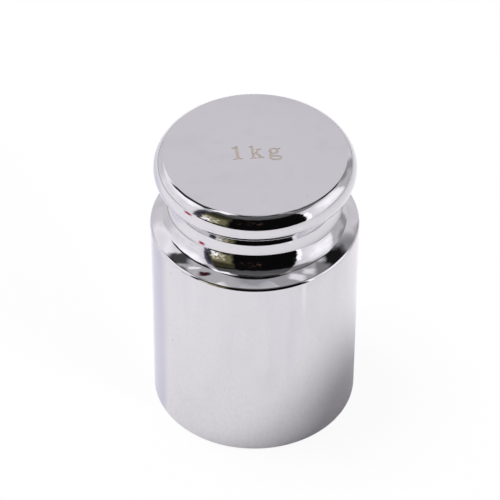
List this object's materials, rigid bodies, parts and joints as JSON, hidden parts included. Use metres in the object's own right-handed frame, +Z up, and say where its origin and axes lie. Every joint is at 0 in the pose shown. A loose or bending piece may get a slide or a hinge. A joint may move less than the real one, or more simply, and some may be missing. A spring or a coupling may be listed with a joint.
{
  "type": "calibration weight",
  "caption": "Cylindrical 1 kg calibration weight in chrome-plated steel, turned in one piece with a cove neck and a rolled knob to lift it by.",
  "frame": {"origin": "centre of the base, on the face that the weight stands on", "axes": "+Z up along the turning axis, from the base to the knob's flat top; X and Y are equal, the weight being round"},
  "size_m": [0.049, 0.049, 0.073],
  "materials": {
    "chrome_plate": "mirror-polished chrome plate on steel"
  },
  "bodies": {
    "root": {"weight_body": "chrome_plate"}
  },
  "joints": []
}
